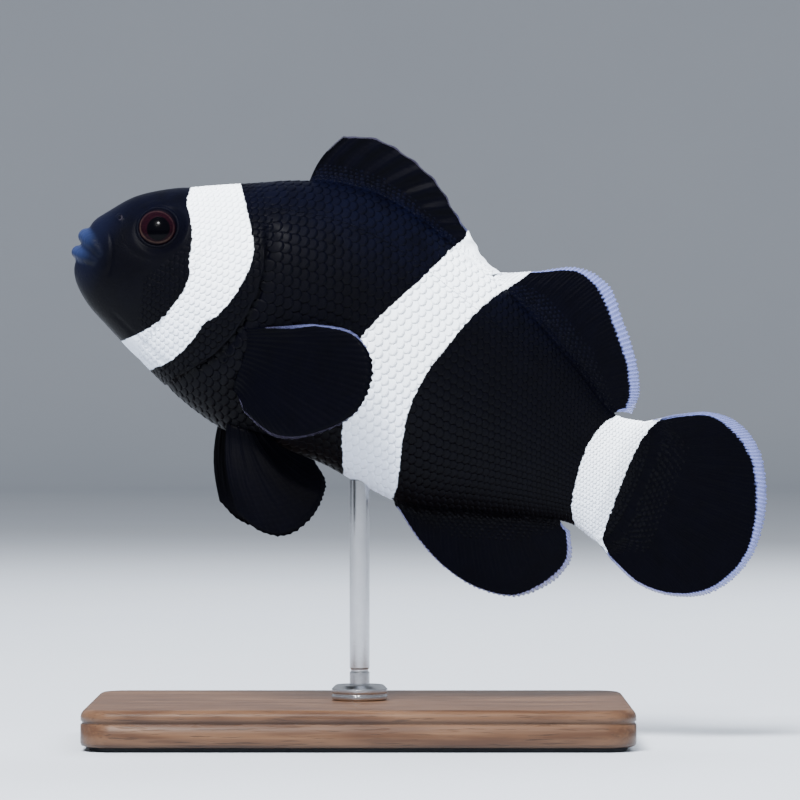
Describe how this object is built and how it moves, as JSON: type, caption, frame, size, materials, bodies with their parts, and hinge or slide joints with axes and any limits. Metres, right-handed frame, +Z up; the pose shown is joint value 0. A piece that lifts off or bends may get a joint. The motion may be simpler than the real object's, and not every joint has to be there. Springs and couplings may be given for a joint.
{
  "type": "black clownfish display model",
  "caption": "Life-size black clownfish with white bars and rounded fins, swimming nose up on a plain display stand.",
  "frame": {"origin": "on the floor under the centre of the whole display's bounding box", "axes": "+X towards the tail, +Y towards the fish's right side, +Z up; the fish's long axis is pitched 22.5 degrees nose up about Y"},
  "size_m": [0.085, 0.042, 0.0739],
  "materials": {
    "skin": "satin near-black skin",
    "lip": "satin blue-grey skin of the lips",
    "fin": "satin near-black fin membrane",
    "eye": "polished dark brown eye",
    "base_wood": "satin varnished dark wood",
    "rod_steel": "brushed"
  },
  "bodies": {
    "root": {"head": "skin", "gill_cover_left": "skin", "gill_cover_right": "skin", "trunk": "skin", "tail_stalk": "skin", "lip_upper": "lip", "lip_lower": "lip", "eye_left": "eye", "eye_right": "eye", "dorsal_fin_spiny": "fin", "dorsal_fin_soft": "fin", "anal_fin": "fin", "tail_fin": "fin", "pectoral_fin_left": "fin", "pectoral_fin_right": "fin", "pelvic_fin_left": "fin", "pelvic_fin_right": "fin", "stand_base": "base_wood", "stand_rod": "rod_steel", "stand_collar": "rod_steel"}
  },
  "joints": []
}
